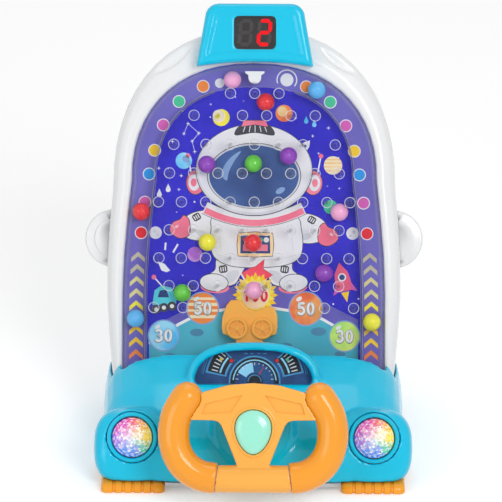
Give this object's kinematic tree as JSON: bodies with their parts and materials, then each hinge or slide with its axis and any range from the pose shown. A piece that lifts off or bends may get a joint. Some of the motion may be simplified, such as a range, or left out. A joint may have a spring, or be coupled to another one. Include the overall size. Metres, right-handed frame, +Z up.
{
  "type": "pachinko machine",
  "caption": "Child's tabletop ball-catching pachinko game: a leaning pegged play board under a clear cover on a car-shaped base, with a steering wheel that moves a catcher car.",
  "frame": {"origin": "centre of the overall box, on the table plane", "axes": "+X to the player's right, +Y away from the player, +Z up"},
  "size_m": [0.2268, 0.265, 0.2801],
  "materials": {
    "orange_plastic": "glossy moulded plastic",
    "orange_rubber": "soft-touch, slight gloss",
    "cyan_plastic": "glossy moulded plastic",
    "white_plastic": "glossy moulded plastic",
    "clear_plastic": "clear, polished",
    "board_print": "printed, satin",
    "grey_plastic": "satin",
    "black_plastic": "satin",
    "smoked_plastic": "smoked, polished",
    "steel": "plain bright steel",
    "nylon": "natural nylon",
    "circuit_board": "solder mask",
    "dash_print": "printed label",
    "headlight_lens": "faceted, many-coloured glow",
    "mint_plastic": "glossy",
    "cell_wrap": "printed wrap round a battery cell",
    "ball_pink": "polished",
    "ball_red": "polished",
    "ball_purple": "polished",
    "ball_green": "polished",
    "ball_yellow": "polished",
    "ball_blue": "polished"
  },
  "bodies": {
    "machine": {"base_tray": "grey_plastic", "battery_1": "cell_wrap", "battery_2": "cell_wrap", "battery_3": "cell_wrap", "clear_cover": "clear_plastic", "dash_lens": "clear_plastic", "dash_panel": "dash_print", "ear_left": "white_plastic", "ear_right": "white_plastic", "front_frame": "white_plastic", "headlight_lens_left": "headlight_lens", "headlight_lens_right": "headlight_lens", "headlight_ring_left": "cyan_plastic", "headlight_ring_right": "cyan_plastic", "hood_shell": "cyan_plastic", "housing_screw_left": "steel", "housing_screw_right": "steel", "launch_motor": "steel", "main_board": "circuit_board", "play_board": "board_print", "rear_housing": "white_plastic", "score_display": "black_plastic", "score_housing": "cyan_plastic", "score_window": "smoked_plastic", "speaker": "black_plastic", "top_divider": "white_plastic", "tyre_foot_left": "orange_plastic", "tyre_foot_right": "orange_plastic"},
    "steering": {"steering_frame": "orange_plastic", "grip_left": "orange_rubber", "grip_right": "orange_rubber", "steering_shaft": "steel", "sector_gear": "nylon"},
    "horn": {"horn_button": "mint_plastic"},
    "car": {"catcher_rack": "nylon", "car_body": "orange_plastic", "car_wheel_left": "orange_plastic", "car_wheel_right": "orange_plastic"},
    "launcher": {"launch_shaft": "steel", "launch_wheel_left": "orange_rubber", "launch_wheel_right": "orange_rubber", "launch_gear": "nylon"},
    "pinion": {"motor_pinion": "steel"},
    "switch": {"power_switch": "black_plastic"},
    "door": {"battery_door": "grey_plastic"},
    "ball_blue_arch": {"ball_blue_arch": "ball_blue"},
    "ball_blue_lane": {"ball_blue_lane": "ball_blue"},
    "ball_green_low": {"ball_green_low": "ball_green"},
    "ball_green_middle": {"ball_green_middle": "ball_green"},
    "ball_pink_low": {"ball_pink_low": "ball_pink"},
    "ball_pink_right": {"ball_pink_right": "ball_pink"},
    "ball_pink_top": {"ball_pink_top": "ball_pink"},
    "ball_purple_left": {"ball_purple_left": "ball_purple"},
    "ball_purple_low": {"ball_purple_low": "ball_purple"},
    "ball_purple_right": {"ball_purple_right": "ball_purple"},
    "ball_red_lane": {"ball_red_lane": "ball_red"},
    "ball_red_middle": {"ball_red_middle": "ball_red"},
    "ball_red_top": {"ball_red_top": "ball_red"},
    "ball_yellow_lane": {"ball_yellow_lane": "ball_yellow"},
    "ball_yellow_left": {"ball_yellow_left": "ball_yellow"}
  },
  "joints": [
    {"name": "steering_turn", "type": "hinge", "parent": "machine", "child": "steering", "pos_m": [0, -0.00612, 0.01075], "axis": [0, 0.9272, -0.3746], "range_deg": [-36, 36]},
    {"name": "horn_press", "type": "slide", "parent": "steering", "child": "horn", "axis": [0, 0.9272, -0.3746], "range_m": [0, 0.0015], "stiffness_N_per_m": 300},
    {"name": "car_slide", "type": "slide", "parent": "machine", "child": "car", "axis": [1, 0, 0], "range_m": [-0.0217, 0.0217]},
    {"name": "launch_turn", "type": "hinge", "parent": "machine", "child": "launcher", "pos_m": [0, -0.00986, 0.01831], "axis": [1, 0, 0], "continuous": true},
    {"name": "pinion_turn", "type": "hinge", "parent": "machine", "child": "pinion", "pos_m": [0, 0.00096, 0.01541], "axis": [1, 0, 0], "continuous": true},
    {"name": "switch_slide", "type": "slide", "parent": "machine", "child": "switch", "axis": [1, 0, 0], "range_m": [-0.002, 0.002]},
    {"name": "door_slide", "type": "slide", "parent": "machine", "child": "door", "axis": [0, 0, -1], "range_m": [0, 0.03]},
    {"name": "blue_arch_roll", "type": "slide", "parent": "machine", "child": "ball_blue_arch", "axis": [-0.8749, 0.1814, 0.449], "range_m": [0, 0.003]},
    {"name": "blue_lane_roll", "type": "slide", "parent": "machine", "child": "ball_blue_lane", "axis": [0, 0.3746, 0.9272], "range_m": [0, 0.008]},
    {"name": "green_low_roll", "type": "slide", "parent": "machine", "child": "ball_green_low", "axis": [0, 0.3746, 0.9272], "range_m": [0, 0.003]},
    {"name": "green_middle_roll", "type": "slide", "parent": "machine", "child": "ball_green_middle", "axis": [0, 0.3746, 0.9272], "range_m": [0, 0.005]},
    {"name": "pink_low_roll", "type": "slide", "parent": "machine", "child": "ball_pink_low", "axis": [0, 0.3746, 0.9272], "range_m": [0, 0.008]},
    {"name": "pink_right_roll", "type": "slide", "parent": "machine", "child": "ball_pink_right", "axis": [0, 0.3746, 0.9272], "range_m": [0, 0.003]},
    {"name": "pink_top_roll", "type": "slide", "parent": "machine", "child": "ball_pink_top", "axis": [0, 0.3746, 0.9272], "range_m": [0, 0.0015]},
    {"name": "purple_left_roll", "type": "slide", "parent": "machine", "child": "ball_purple_left", "axis": [0, 0.3746, 0.9272], "range_m": [0, 0.005]},
    {"name": "purple_low_roll", "type": "slide", "parent": "machine", "child": "ball_purple_low", "axis": [0, 0.3746, 0.9272], "range_m": [0, 0.002]},
    {"name": "purple_right_roll", "type": "slide", "parent": "machine", "child": "ball_purple_right", "axis": [0, 0.3746, 0.9272], "range_m": [0, 0.004]},
    {"name": "red_lane_roll", "type": "slide", "parent": "machine", "child": "ball_red_lane", "axis": [0.1055, 0.3725, 0.922], "range_m": [0, 0.005]},
    {"name": "red_middle_roll", "type": "slide", "parent": "machine", "child": "ball_red_middle", "axis": [0, 0.3746, 0.9272], "range_m": [0, 0.006]},
    {"name": "red_top_roll", "type": "slide", "parent": "machine", "child": "ball_red_top", "axis": [0, 0.3746, 0.9272], "range_m": [0, 0.0035]},
    {"name": "yellow_lane_roll", "type": "slide", "parent": "machine", "child": "ball_yellow_lane", "axis": [0, 0.3746, 0.9272], "range_m": [0, 0.008]},
    {"name": "yellow_left_roll", "type": "slide", "parent": "machine", "child": "ball_yellow_left", "axis": [0, 0.3746, 0.9272], "range_m": [0, 0.005]}
  ],
  "couplings": [
    {"joint": "car_slide", "follows": "steering_turn", "m_per_rad": 0.0344},
    {"joint": "pinion_turn", "follows": "launch_turn", "ratio": -2.5}
  ]
}
